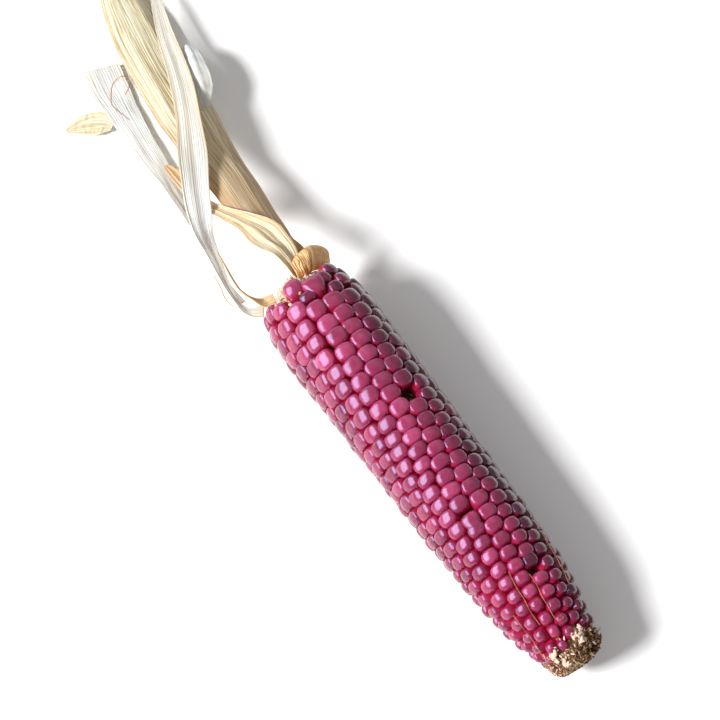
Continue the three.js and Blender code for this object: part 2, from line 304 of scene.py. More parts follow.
# Kernels that stand out of their rows, by row: the knob, the wedge and the others crowded at
# the butt, four large bright ones, a drop-shaped one and a small dark one
ODD_KERNELS = {
    0: [dict(x=13.6, angle=4.2, length=7.2, width=7.4, lift=0.4, taper=0.36, plan=2.4, tone=0.5)],
    1: [
        dict(x=12.2, angle=20.5, length=5.2, width=5.6, lift=-0.2, tone=0.36),
        dict(x=17.2, angle=25.0, length=4.8, width=5.4, lift=-0.3, tone=0.24),
        dict(x=102.0, angle=-16.5, length=6.4, width=5.8, taper=0.35, lift=0.2, plan=2.2, tone=0.5),
    ],
    2: [
        dict(x=9.6, angle=42.0, length=5.0, width=6.0, tone=0.3),
        dict(x=14.8, angle=44.0, length=5.0, width=6.0, tone=0.34),
    ],
    3: [dict(x=120.3, angle=13.6, length=4.4, width=5.0, lift=-0.3, tone=0.16)],
    12: [dict(x=10.3, angle=-67.2, length=5.2, width=6.0, tone=0.5)],
    13: [dict(x=12.7, angle=-49.5, length=5.2, width=6.2, tone=0.55)],
    14: [
        dict(x=17.5, angle=-30.6, length=6.2, width=7.2, lift=0.2, plan=2.5, tone=0.6),
        dict(x=23.6, angle=-35.6, length=6.0, width=6.8, lift=0.1, tone=0.56),
        dict(x=29.2, angle=-35.6, length=5.4, width=6.4, tone=0.54),
        dict(x=35.1, angle=-38.5, length=6.4, width=6.8, lift=0.25, plan=2.4, tone=0.66),
    ],
    15: [
        dict(
            x=10.2, angle=-19.2, length=6.8, width=7.2, lift=0.6, plan=2.1, profile=2.1,
            dome=2.6, tone=0.55,
        ),
        dict(x=15.6, angle=-9.8, length=4.0, width=6.2, lift=-0.3, tone=0.28),
    ],
}


def on_ear(x, angle, radius):
    """A point at a distance along the ear, an angle from straight up and a radius."""
    return Vector((x, radius * math.sin(angle), axis_height(x) + radius * math.cos(angle)))


def crown_radius(x):
    return along(CROWN_PROFILE, x)


def row_angle(row, x):
    return math.radians(FIRST_ROW_ANGLE + row * 360 / ROW_COUNT + along(ROW_TWIST, x))


def kernel_cage():
    """A cube cut in three each way, from which every kernel is shaped."""
    cage = bmesh.new()
    bmesh.ops.create_cube(cage, size=2)
    bmesh.ops.subdivide_edges(cage, edges=cage.edges, cuts=2, use_grid_fill=True)
    mesh = bpy.data.meshes.new("kernel_cage")
    cage.to_mesh(mesh)
    cage.free()
    return mesh


def pillow(corner, plan, profile):
    """Where the ray to a cage corner meets a rounded box of half size one.
    A plan or profile of 2 is round, and a greater one is squarer. The lower half is square,
    because it is pressed against its neighbours."""
    x, y, z = (abs(part) for part in corner.normalized())
    if corner.z < 0:
        plan = profile = PRESSED_PLAN
    flat = (x ** plan + y ** plan) ** (profile / plan)
    return corner.normalized() * (flat + z ** profile) ** (-1 / profile)


def add_kernel(shape, x, angle, length, width, lift=0.0, taper=0.0, turn=0.0, plan=2.9,
               profile=2.4, dome=DOME_HEIGHT, pinch=0.03, tone=0.45):
    """Adds one kernel. Its taper narrows its tip end, its pinch makes its dome smaller than
    its foot, and its tone goes from dark to pink."""
    before = len(shape.verts)
    shape.from_mesh(cage_mesh)
    shape.verts.ensure_lookup_table()
    local_place = shape.verts.layers.float_vector["on_kernel"]
    skin_tone = shape.verts.layers.float["tone"]
    shoulder = crown_radius(x) + lift - dome
    slope = LEAN_SHARE * math.atan((crown_radius(x + 1) - crown_radius(x - 1)) / 2)
    for vert in shape.verts[before:]:
        part = pillow(vert.co, plan, profile)
        vert[local_place] = part
        vert[skin_tone] = tone
        share = FOOT_SPREAD - (pinch if part.z > 0 else 0)
        forward = share * part.x * length / 2
        across = share * part.y * width / 2 * (1 - taper * part.x)
        out = part.z * (dome if part.z > 0 else KERNEL_DEPTH)
        forward, across = (
            forward * math.cos(turn) - across * math.sin(turn),
            across * math.cos(turn) + forward * math.sin(turn),
        )
        at = x + forward * math.cos(slope) - out * math.sin(slope)
        radius = shoulder + forward * math.sin(slope) + out * math.cos(slope)
        vert.co = on_ear(at, angle + across / shoulder, radius)


def kernel_skin():
    """The skin of a dry kernel: a thin glossy coloured coat over pale starch, as of lacquer.
    It shows the window in each crown, a red glow in the furrows and a faint mottle. The flanks'
    brighter red is partly the skin's own and partly a painted glow in the shaded furrows."""
    material, tree, shader = new_material("kernel_skin")
    place = add_node(tree, "TexCoord").outputs["Object"]
    local = add_node(tree, "Attribute", attribute_name="on_kernel").outputs["Vector"]
    tone = add_node(tree, "Attribute", attribute_name="tone").outputs["Fac"]
    mottle = add_node(
        tree, "TexNoise", {"Vector": place, "Scale": scale_of(SKIN_MOTTLE), "Detail": 3.0},
    )
    shade = add_node(
        tree, "Math", {0: mottle.outputs["Fac"], 1: 0.3, 2: tone}, operation="MULTIPLY_ADD",
    )
    crown = add_node(
        tree, "ValToRGB", {"Fac": shade.outputs[0]},
        stops=[(0.15, "360A22"), (0.45, "640F36"), (0.7, "8E2750"), (1.0, "BA4E7A")],
    )
    # Painted glow: the flanks, down in the shaded furrows, are a brighter red than the crowns
    flank_with_painted_glow = add_node(
        tree, "ValToRGB", {"Fac": tone}, stops=[(0.05, "6A1032"), (0.4, "B41E46")],
    )
    parts = add_node(tree, "SeparateXYZ", {"Vector": local})
    low_down = add_node(
        tree, "MapRange",
        {"Value": parts.outputs["Z"], "From Min": CROWN_ABOVE, "From Max": FLANK_BELOW},
    ).outputs["Result"]
    coloured = add_node(
        tree, "Mix",
        {"Factor": low_down, "A": crown.outputs["Color"], "B": flank_with_painted_glow.outputs["Color"]},
        data_type="RGBA",
    )
    from_scar = add_node(
        tree, "VectorMath", {0: local, 1: SCAR_AT}, operation="DISTANCE",
    ).outputs["Value"]
    in_scar = add_node(
        tree, "MapRange",
        {"Value": from_scar, "From Min": SCAR_RADIUS, "From Max": SCAR_CORE},
    )
    scarred = add_node(
        tree, "Mix",
        {"Factor": in_scar.outputs["Result"], "A": coloured.outputs[2], "B": linear("C88C80")},
        data_type="RGBA",
    )
    tree.links.new(scarred.outputs[2], shader.inputs["Base Color"])
    ripple = add_node(
        tree, "TexNoise", {"Vector": place, "Scale": scale_of(SKIN_RIPPLE), "Detail": 2.0},
    )
    bump = add_node(
        tree, "Bump",
        {"Height": ripple.outputs["Fac"], "Strength": 0.35, "Distance": RIPPLE_RELIEF * MM},
    )
    tree.links.new(bump.outputs["Normal"], shader.inputs["Normal"])
    shader.inputs["Roughness"].default_value = 0.19
    shader.inputs["IOR"].default_value = 1.5
    shader.inputs["Coat Weight"].default_value = 0.4
    shader.inputs["Coat Roughness"].default_value = 0.12
    shader.inputs["Subsurface Weight"].default_value = 0.6
    shader.inputs["Subsurface Radius"].default_value = (1.0, 0.22, 0.34)
    shader.inputs["Subsurface Scale"].default_value = GLOW_DEPTH * MM
    return material


skin = kernel_skin()
cage_mesh = kernel_cage()
skin_random = random.Random(SKIN_SEED)
first_tone_angle = TONE_WITH_PAINTED_SHADE[0][0]

for row in range(ROW_COUNT):
    shape = bmesh.new()
    shape.verts.layers.float_vector.new("on_kernel")
    shape.verts.layers.float.new("tone")
    odd_ones = ODD_KERNELS.get(row, [])
    x = FIRST_KERNEL[row]
    pitch = along(KERNEL_PITCH, x)
    while x < LAST_KERNEL[row]:
        next_pitch = along(KERNEL_PITCH, x)
        next_pitch *= skin_random.uniform(1 - PITCH_SPREAD, 1 + PITCH_SPREAD)
        width = 2 * math.pi * (crown_radius(x) - DOME_HEIGHT) / ROW_COUNT
        missing = row == MISSING[0] and abs(x - MISSING[1]) < pitch / 2
        taken = any(abs(x - odd["x"]) < pitch / 2 for odd in odd_ones)
        near_tip = max(0.0, (x - LOW_FROM) / LOW_OVER)
        stray = math.radians(skin_random.uniform(-ANGLE_SPREAD, ANGLE_SPREAD))
        angle = row_angle(row, x) + stray
        side_on = (math.degrees(angle) - first_tone_angle) % 360 + first_tone_angle
        looks = dict(
            angle=angle,
            length=(pitch + next_pitch) / 2 * LENGTH_SHARE,
            width=width * skin_random.uniform(*WIDTH_RANGE),
            lift=skin_random.uniform(*LIFT_RANGE) - LOW_BY * near_tip * skin_random.random(),
            taper=skin_random.uniform(-TAPER_SPREAD, TAPER_SPREAD),
            turn=math.radians(skin_random.uniform(-TURN_SPREAD, TURN_SPREAD)),
            plan=skin_random.uniform(*PLAN_RANGE),
            profile=skin_random.uniform(*PROFILE_RANGE),
            pinch=along(PINCH, x),
            # Painted shade: the tone is darker on the side of the ear turned from the sunlight
            tone=along(TONE_WITH_PAINTED_SHADE, side_on) + skin_random.uniform(-TONE_SPREAD, TONE_SPREAD),
        )
        if not missing and not taken:
            add_kernel(shape, x, **looks)
        x += next_pitch
        pitch = next_pitch
    for odd in odd_ones:
        add_kernel(shape, **{**odd, "angle": math.radians(odd["angle"])})
    piece = add_piece(
        f"kernels_{row + 1:02d}", shape, skin,
        replaced=[f"kernel_row_{row + 1:02d}"],
    )
    rounding = piece.modifiers.new("rounding", "SUBSURF")
    rounding.levels = ROUNDING_LEVELS
    rounding.render_levels = ROUNDING_LEVELS


# The husk leaves
# Dry leaves peeled back from the ear and let fall. Each is a papery sheet a third of a
# millimetre thick, ribbed along its length, pale in the sun and golden where it was folded.
LEAF_THICKNESS = 0.32
LEAF_STEPS = 100
A_LITTLE_WAY = 0.004
# How uneven a leaf is, in shares of its width
EDGE_WANDER = 0.05
FOLD_WANDER = 0.05
WAVE_HEIGHT = 0.04
RIB_DRIFT = 0.05
# The fibres of the paper, on a map in millimetres. They are drawn coarser than the real
# ones, so that they show.
FIBRES_PER_MM = 6.0
STREAKS_PER_RIB = 1.4
BLOTCHES_PER_MM = 0.5
STREAK_STRETCH = 0.03
FIBRE_RELIEF = 0.3
PAPER_GLOW_DEPTH = 1.0


def smooth_line(stations):
    """A smooth line through the stations: gives the station at a share of the way."""
    points = [Vector(station) for station in stations]
    points.insert(0, 2 * points[0] - points[1])
    points.append(2 * points[-1] - points[-2])

    def at(share):
        place = share * (len(points) - 3)
        first = min(int(place), len(points) - 4)
        p0, p1, p2, p3 = points[first:first + 4]
        t = place - first
        g0, g1, g2 = (
            Vector((b - a)[:3]).length ** 0.5 for a, b in ((p0, p1), (p1, p2), (p2, p3))
        )
        leave = ((p1 - p0) / g0 - (p2 - p0) / (g0 + g1) + (p2 - p1) / g1) * g1
        reach = ((p2 - p1) / g1 - (p3 - p1) / (g1 + g2) + (p3 - p2) / g2) * g1
        return (
            p1 * (2 * t ** 3 - 3 * t ** 2 + 1) + leave * (t ** 3 - 2 * t ** 2 + t)
            + p2 * (3 * t ** 2 - 2 * t ** 3) + reach * (t ** 3 - t ** 2)
        )

    return at


def leaf_point(line, share):
    """The leaf's middle point, its side and face directions and its width there."""
    share = min(max(share, 0.0), 1.0)
    station = line(share)
    before = line(max(share - A_LITTLE_WAY, 0.0))
    after = line(min(share + A_LITTLE_WAY, 1.0))
    tangent = Vector((after - before)[:3]).normalized()
    side = Vector((0, 0, 1)).cross(tangent).normalized()
    side.rotate(Matrix.Rotation(math.radians(station[4]), 3, tangent))
    return Vector(station[:3]), side, tangent.cross(side), station[3]


def uneven(along_it, across_it, seed):
    """Smooth unevenness from -1 to 1, that changes with the place on a leaf."""
    return noise.noise(Vector((along_it, across_it, seed)))


def give_thickness(piece, thickness):
    """Makes a sheet a closed leaf, as thick as said in millimetres."""
    paper = piece.modifiers.new("thickness", "SOLIDIFY")
    paper.thickness = thickness * MM
    paper.offset = 0


def husk_leaf(name, stations, material, node, ribs, cup=0.8, rib_height=0.10,
              folds=(), ragged=0.02, seed=1, gold=((0, 0), (1, 0)), edge_gold=0.0):
    """Adds a husk leaf. Its stations are (x, y, z, width, degrees rolled about its length).
    Its folds are (place across, half width, height) in shares of its width, and gold says
    how golden it is at shares of its length."""
    line = smooth_line(stations)
    sheet = bmesh.new()
    bmesh.ops.create_grid(
        sheet, x_segments=LEAF_STEPS, y_segments=max(16, 4 * ribs), size=1, calc_uvs=False,
    )
    uv = sheet.loops.layers.uv.new("leaf")
    golden = sheet.verts.layers.float.new("gold")
    widest = max(station[3] for station in stations)
    length = sum(
        (Vector(b[:3]) - Vector(a[:3])).length for a, b in zip(stations, stations[1:])
    )
    for face in sheet.faces:
        for loop in face.loops:
            u = loop.vert.co.y / 2 * widest
            v = (loop.vert.co.x + 1) / 2 * length
            loop[uv].uv = (u, v)
    for vert in sheet.verts:
        across = vert.co.y / 2
        share = (vert.co.x + 1) / 2
        wander = uneven(share * 9, across * 2, seed)
        torn = ragged * uneven(0, across * 14, seed + 5)
        share_here = share + torn * max(0.0, 3 * share - 2)
        middle, side, face, width = leaf_point(line, share_here)
        width *= 1 + EDGE_WANDER * uneven(share * 16, 5 if across > 0 else -5, seed)
        strength = 0.6 + 0.7 * uneven(share * 7, across * 9, seed + 7)
        drift = RIB_DRIFT * uneven(share * 4, across * 6, seed + 9)
        height_here = strength * min(rib_height, 0.2 * width / ribs)
        rib = height_here * math.cos(2 * math.pi * ribs * (across + drift))
        fold = sum(
            height * width * math.exp(-((across + FOLD_WANDER * wander - place) / half) ** 2)
            for place, half, height in folds
        )
        cupped = cup * width * (4 * across * across - 0.5) / 10
        waving = WAVE_HEIGHT * width * uneven(share * 12, across * 2.5, seed + 3)
        at_edge = edge_gold * (2 * abs(across)) ** 6
        vert[golden] = min(1.0, max(0.0, along(gold, share) + at_edge))
        vert.co = middle + side * across * width + face * (rib + fold + cupped + waving)
    piece = add_piece(name, sheet, material, replaced=[node])
    give_thickness(piece, LEAF_THICKNESS)


def dry_leaf(name, light, middle, dark, golden, rib_pitch=1.1):
    """Dry husk leaf, like stiff ribbed paper: matt, a little see-through, with pale and
    brown fibres along it, and golden to orange where sap dried in the folds."""
    material, tree, shader = new_material(name)
    place = add_node(tree, "UVMap", uv_map="leaf").outputs["UV"]
    gold = add_node(tree, "Attribute", attribute_name="gold").outputs["Fac"]
    lengthwise = add_node(
        tree, "Mapping", {"Vector": place, "Scale": (1.0, STREAK_STRETCH, 1.0)},
    ).outputs[0]
    streaks = add_node(
        tree, "TexNoise",
        {
            "Vector": lengthwise, "Scale": STREAKS_PER_RIB / rib_pitch, "Detail": 5.0,
            "Roughness": 0.7,
        },
    )
    fibres = add_node(
        tree, "TexNoise", {"Vector": lengthwise, "Scale": FIBRES_PER_MM, "Detail": 3.0},
    )
    mixed = add_node(
        tree, "Math", {0: fibres.outputs["Fac"], 1: 0.35, 2: streaks.outputs["Fac"]},
        operation="MULTIPLY_ADD",
    )
    colour = add_node(
        tree, "ValToRGB", {"Fac": mixed.outputs[0]},
        stops=[(0.48, dark), (0.62, middle), (0.76, light)],
    )
    blotch = add_node(
        tree, "TexNoise", {"Vector": lengthwise, "Scale": BLOTCHES_PER_MM, "Detail": 3.0},
    )
    warm = add_node(
        tree, "Math", {0: blotch.outputs["Fac"], 1: gold}, operation="MULTIPLY",
    )
    warmth = add_node(
        tree, "MapRange", {"Value": warm.outputs[0], "From Min": 0.05, "From Max": 0.6},
    )
    toasted = add_node(
        tree, "Mix",
        {"Factor": warmth.outputs["Result"], "A": colour.outputs["Color"], "B": linear(golden)},
        data_type="RGBA",
    )
    tree.links.new(toasted.outputs[2], shader.inputs["Base Color"])
    bump = add_node(
        tree, "Bump",
        {"Height": mixed.outputs[0], "Strength": 0.5, "Distance": FIBRE_RELIEF * MM},
    )
    tree.links.new(bump.outputs["Normal"], shader.inputs["Normal"])
    shader.inputs["Roughness"].default_value = 0.6
    shader.inputs["Specular IOR Level"].default_value = 0.35
    shader.inputs["Subsurface Weight"].default_value = 0.35
    shader.inputs["Subsurface Radius"].default_value = (1.0, 0.86, 0.66)
    shader.inputs["Subsurface Scale"].default_value = PAPER_GLOW_DEPTH * MM
    return material


tan_husk = dry_leaf("tan_husk", "D1CCB8", "B0A580", "78603A", "A67230")
cream_husk = dry_leaf("cream_husk", "DBD3BC", "C3B18A", "957140", "B88440")
pale_husk = dry_leaf("pale_husk", "E2E4E5", "D4D5D2", "B9B3A0", "BFA672")
bluish_husk = dry_leaf("bluish_husk", "CED2D4", "BEC4C8", "AAABA2", "C4BC9C")

husk_leaf(
    "broad_leaf",
    [
        (1.6, 6.8, 23.6, 3.4, -20), (-3.2, 5.2, 25.4, 5.4, -4), (-8.3, 3.6, 25.0, 8.2, 10),
        (-20.5, 3.6, 21.9, 14.5, 22), (-39.1, 5.4, 17.2, 18.8, 27), (-56.7, 7.0, 14.0, 20.4, 25),
        (-73.6, 9.0, 11.2, 20.9, 16), (-102.8, 13.3, 8.2, 22.0, 12), (-122.0, 16.8, 6.4, 20.5, 9),
        (-138.0, 19.6, 4.4, 14.5, 6), (-149.0, 21.3, 2.6, 7.5, 4), (-155.0, 22.2, 1.2, 2.4, 0),
    ],
    tan_husk, "husk_main", ribs=30, cup=-2.1,
    folds=[(-0.12, 0.07, 0.03), (-0.3, 0.07, -0.025), (0.28, 0.06, 0.012)],
    gold=[(0, 1.0), (0.12, 0.8), (0.3, 0.58), (0.5, 0.25), (0.7, 0.06), (1, 0.05)],
    edge_gold=0.28, seed=1,
)
husk_leaf(
    "twisted_leaf",
    [
        (3.2, 1.6, 24.6, 3.4, 10), (1.6, 1.4, 27.6, 5.8, 24), (-3.4, 1.1, 29.8, 8.4, 20),
        (-11.5, -0.3, 29.0, 11.2, 4), (-19.7, -2.2, 27.0, 7.0, -8), (-27.2, -4.7, 24.1, 4.8, -4),
        (-35.8, -6.8, 19.3, 4.0, 2), (-46.8, -7.8, 14.8, 3.7, 6), (-55.8, -7.6, 12.2, 4.1, 4),
        (-62.4, -7.6, 9.0, 1.7, 0),
    ],
    cream_husk, "husk_twisted", ribs=12, cup=0.8,
    folds=[(0.12, 0.09, 0.08), (-0.2, 0.08, -0.05)],
    gold=[(0, 0.7), (0.05, 0.3), (0.2, 0.1), (0.5, 0.35), (1, 0.7)], edge_gold=0.3, seed=2,
)
husk_leaf(
    "long_ribbon",
    [
        (3.5, -12.0, 13.0, 6.3, 26), (1.9, -14.7, 12.8, 5.4, 28), (-0.7, -16.4, 12.6, 3.5, 34),
        (-4.2, -17.0, 12.6, 2.2, 38), (-10.2, -16.5, 12.8, 2.7, 32), (-16.8, -15.6, 15.0, 3.8, 28),
        (-22.7, -14.6, 17.4, 5.1, 26), (-28.8, -13.6, 22.1, 7.2, 22), (-38.5, -9.3, 24.6, 8.8, 16),
        (-52.5, -1.9, 23.0, 9.7, 8), (-68.4, 6.1, 19.6, 8.3, 0), (-85.6, 13.4, 15.4, 7.8, 0),
        (-104.7, 19.5, 11.6, 5.9, 0), (-118.2, 24.4, 9.4, 4.2, 0), (-128.8, 28.3, 7.4, 1.8, 0),
    ],
    pale_husk, "husk_ribbon", ribs=13, cup=0.6, folds=[(0.15, 0.14, 0.03)],
    gold=[(0, 0.6), (0.1, 0.3), (0.25, 0.0), (0.52, 0.0), (0.68, 0.45), (1, 0.5)],
    edge_gold=0.25, seed=3,
)
husk_leaf(
    "left_leaf",
    [
        (-6.2, -14.1, 6.0, 2.3, 20), (-14.9, -14.9, 7.2, 2.6, 30), (-27.8, -13.3, 8.4, 3.3, 34),
        (-41.7, -11.5, 7.6, 4.3, 32), (-55.9, -9.7, 5.1, 6.0, 29), (-67.7, -8.5, 3.5, 7.8, 19),
        (-80.1, -7.6, 2.8, 8.9, 13), (-93.0, -6.5, 2.3, 11.3, 10), (-104.3, -5.1, 2.0, 13.2, 9),
        (-113.1, -3.2, 1.9, 13.2, 8),
    ],
    pale_husk, "husk_left", ribs=14, cup=0.1, folds=[(0.2, 0.14, 0.02)],
    gold=[(0, 0.7), (0.1, 0.1), (0.7, 0.0), (1, 0.25)], edge_gold=0.2, seed=4,
)
husk_leaf(
    "under_leaf_tip",
    [
        (-90.2, -12.3, 2.2, 3.4, 0), (-92.8, -14.3, 2.0, 8.2, 0), (-95.0, -17.1, 1.6, 9.3, 0),
        (-96.7, -20.5, 1.3, 7.5, 0), (-97.7, -23.9, 1.1, 4.1, 0), (-98.5, -26.2, 1.0, 1.4, 0),
    ],
    cream_husk, "husk_under_tip", ribs=8, cup=0.3, seed=5,
)
husk_leaf(
    "curled_tip",
    [
        (-70.9, 14.1, 14.0, 3.4, -6), (-75.4, 15.9, 13.6, 6.4, -12), (-80.2, 17.9, 13.4, 8.8, -18),
        (-85.6, 19.5, 13.4, 8.8, -20), (-91.4, 21.4, 12.7, 7.5, -16), (-95.6, 22.6, 12.0, 4.8, -10),
        (-97.8, 23.3, 11.4, 2.1, -6),
    ],
    bluish_husk, "husk_curl", ribs=6, cup=-1.2,
    folds=[(-0.08, 0.18, 0.12), (0.3, 0.1, -0.05)], seed=6,
    gold=[(0, 0.5), (0.4, 0.4), (1, 0.0)],
)
husk_leaf(
    "golden_blade",
    [
        (3.3, -7.5, 17.4, 4.0, 24), (2.8, -10.9, 17.0, 5.4, 30), (0.1, -13.2, 17.6, 2.5, 48),
        (-4.4, -15.1, 18.4, 1.7, 60), (-9.8, -15.1, 19.4, 1.6, 62), (-14.7, -14.6, 20.2, 1.2, 64),
        (-19.1, -14.2, 21.0, 0.7, 66),
    ],
    cream_husk, "husk_blade", ribs=4, cup=0.3, gold=[(0, 0.6), (1, 0.8)], seed=7,
)


# The cuff
# The doubled-over foot of a stout leaf that hugs the butt above and behind. Its ribs run
# towards the ear, and it is the most golden brown of the husk.
CUFF_STEPS = (150, 16)
# Stations of its middle line, as (degrees from straight up, x, radius, width)
CUFF_STATIONS = [
    (2, 3.6, 9.4, 5.2), (24, 3.0, 10.2, 6.6), (38, 2.5, 11.0, 7.6), (58, 2.3, 11.8, 7.6),
    (80, 2.4, 13.2, 7.0), (100, 2.5, 12.8, 5.4), (122, 2.6, 12.0, 3.8),
]
CUFF_LEAN = math.radians(56)
CUFF_RIBS = 34
CUFF_RIB_HEIGHT = 0.13
CUFF_GATHER = 0.05
CUFF_CRUMPLE = 0.8
CUFF_BULGE = 0.5
# It is more golden towards its root
CUFF_GOLD = 0.2
ROOT_GOLD = 2.2
# The rim rolls in beyond this share of the width, and drops as far as said
RIM_FROM = 0.3
RIM_WIDTH = 0.2
RIM_DROP = 1.0
CUFF_THICKNESS = 0.6
# The size of its map in millimetres, round the butt and across
CUFF_MAP = (26, 7)

brown_husk = dry_leaf("brown_husk", "ECD0A0", "D6A468", "A66C34", "CA7C2E", rib_pitch=0.7)
cuff = bmesh.new()
steps_round, steps_across = CUFF_STEPS
bmesh.ops.create_grid(
    cuff, x_segments=steps_round, y_segments=steps_across, size=1, calc_uvs=False,
)
cuff_uv = cuff.loops.layers.uv.new("leaf")
cuff_gold = cuff.verts.layers.float.new("gold")
around, over = CUFF_MAP
for face in cuff.faces:
    for loop in face.loops:
        loop[cuff_uv].uv = ((loop.vert.co.x + 1) / 2 * around, loop.vert.co.y / 2 * over)
cuff_line = smooth_line(CUFF_STATIONS)
for vert in cuff.verts:
    share = (vert.co.x + 1) / 2
    across = vert.co.y / 2
    turn, x, radius, width = cuff_line(share)
    vert[cuff_gold] = min(1.0, CUFF_GOLD + ROOT_GOLD * max(0.0, -0.1 - across))
    gather = CUFF_GATHER * uneven(share * 8, across * 2, 3)
    relief = CUFF_RIB_HEIGHT * math.cos(2 * math.pi * CUFF_RIBS * (share + gather))
    relief += CUFF_CRUMPLE * uneven(share * 9, across * 1.5, 8)
    rolled_rim = max(0.0, across - RIM_FROM) / RIM_WIDTH
    relief += CUFF_BULGE * math.cos(math.pi * across) - RIM_DROP * rolled_rim ** 2
    out = across * width * math.cos(CUFF_LEAN) + relief * math.sin(CUFF_LEAN)
    back = across * width * math.sin(CUFF_LEAN) - relief * math.cos(CUFF_LEAN)
    vert.co = on_ear(x - back, math.radians(turn), radius + out)
piece = add_piece("leaf_cuff", cuff, brown_husk, replaced=["husk_cuff"])
give_thickness(piece, CUFF_THICKNESS)


# The tip chaff
# Dry scales and crumbs of the flowers that set no grain, round the crumbling end of the
# cob: cream, ochre, olive and brown, matt and brittle.
CHAFF_SEED = 5
CHAFF_PROFILE = [(142, 9.0), (146, 8.8), (149, 8.2), (150.6, 6.4), (151.2, 2.6)]
CHAFF_END = 151.2
# How far the chaff reaches back from the cob's end, on the ear's left and on its right
LEFT_REACH = 6.2
RIGHT_REACH = 4.6
CRUMB_COUNT = 1900
CRUMB_SIZES = (0.35, 0.95)
# The crumbs take dark tones round this angle, the side of the tip turned from the sunlight, as
# painted shade, and pale tones on the other side
SHADED_SIDE = 1.1
SHADED_SIDE_TONES = [0.05, 0.2, 0.3, 0.45, 0.55]
SUNLIT_SIDE_TONES = [0.2, 0.4, 0.55, 0.7, 0.85]
# The hollow in the chaff, whose crumbs take the darkest tone as painted shade: its place and angle,
# half its size and its depth
HOLLOW_AT = (149.4, math.radians(38))
HOLLOW_HALF_LENGTH = 1.4
HOLLOW_HALF_ANGLE = 0.3
HOLLOW_DEPTH = 1.6
# Pale wrinkled lumps of shrunken grains, as (x, degrees, radius, spread along, spread round)
LUMPS = [
    (144.6, 9.7, 9.9, 1.0, 1.9), (146.6, 14, 9.2, 1.1, 1.0), (146.4, -46.6, 9.6, 1.9, 1.1),
    (148.6, -42, 8.2, 1.4, 1.2),
]
CRUMBS_IN_LUMP = 16
# The pit of the grain that is missing: the radius of its floor, and half its length and
# width, the width in degrees
PIT_FLOOR = 11.0
PIT_HALF_LENGTH = 2.0
PIT_HALF_ANGLE = 6.88
CHAFF_GRAIN = 0.667
CHAFF_RELIEF = 0.2


def dry_chaff():
    """Brittle chaff: papery scale, matt, each crumb its own shade from cream to dark brown."""
    material, tree, shader = new_material("dry_chaff")
    place = add_node(tree, "TexCoord").outputs["Object"]
    tone = add_node(tree, "Attribute", attribute_name="tone").outputs["Fac"]
    grain = add_node(
        tree, "TexNoise", {"Vector": place, "Scale": scale_of(CHAFF_GRAIN), "Detail": 3.0},
    )
    shade = add_node(
        tree, "Math", {0: grain.outputs["Fac"], 1: 0.4, 2: tone}, operation="MULTIPLY_ADD",
    )
    colour = add_node(
        tree, "ValToRGB", {"Fac": shade.outputs[0]},
        stops=[
            (0.2, "2C190C"), (0.45, "6E4B30"), (0.7, "997452"), (0.88, "BE9A80"), (1.0, "D6BCA8"),
        ],
    )
    bump = add_node(
        tree, "Bump",
        {"Height": grain.outputs["Fac"], "Strength": 0.7, "Distance": CHAFF_RELIEF * MM},
    )
    tree.links.new(colour.outputs["Color"], shader.inputs["Base Color"])
    tree.links.new(bump.outputs["Normal"], shader.inputs["Normal"])
    shader.inputs["Roughness"].default_value = 0.9
    shader.inputs["Specular IOR Level"].default_value = 0.2
    return material


def chaff_radius(x):
    return along(CHAFF_PROFILE, x)


def cob_radius(x):
    return along(COB_PROFILE, x)


def add_crumb(shape, middle, size, tone, flatness=1.0, longness=1.0):
    """Adds one broken crumb or scale: a small faceted ball, knocked out of round."""
    before = len(shape.verts)
    bmesh.ops.create_icosphere(shape, subdivisions=1, radius=size / 2)
    shape.verts.ensure_lookup_table()
    turned_by = chaff_random.uniform(0, 6.28)
    about = Vector([chaff_random.gauss(0, 1) for _ in range(3)])
    turn = Matrix.Rotation(turned_by, 3, about)
    stretch = Vector((
        longness * chaff_random.uniform(0.7, 1.5),
        chaff_random.uniform(0.6, 1.0),
        flatness * chaff_random.uniform(0.4, 0.9),
    ))
    layer = shape.verts.layers.float["tone"]
    for vert in shape.verts[before:]:
        vert[layer] = tone
        dented = vert.co * chaff_random.uniform(0.75, 1.2)
        vert.co = middle + turn @ Vector(a * b for a, b in zip(dented, stretch))


def scatter(shape, count, between, degrees, base, above, sizes, shades, **form):
    """Scatters crumbs between two places along the ear, two angles from straight up and two
    heights above a base, which is a function that gives the radius at a place."""
    for _ in range(count):
        x = chaff_random.uniform(*between)
        angle = math.radians(chaff_random.uniform(*degrees))
        place = on_ear(x, angle, base(x) + chaff_random.uniform(*above))
        size = chaff_random.uniform(*sizes)
        add_crumb(shape, place, size, chaff_random.choice(shades), **form)


def new_chaff():
    """An empty shape whose crumbs can each have a tone."""
    shape = bmesh.new()
    shape.verts.layers.float.new("tone")
    return shape


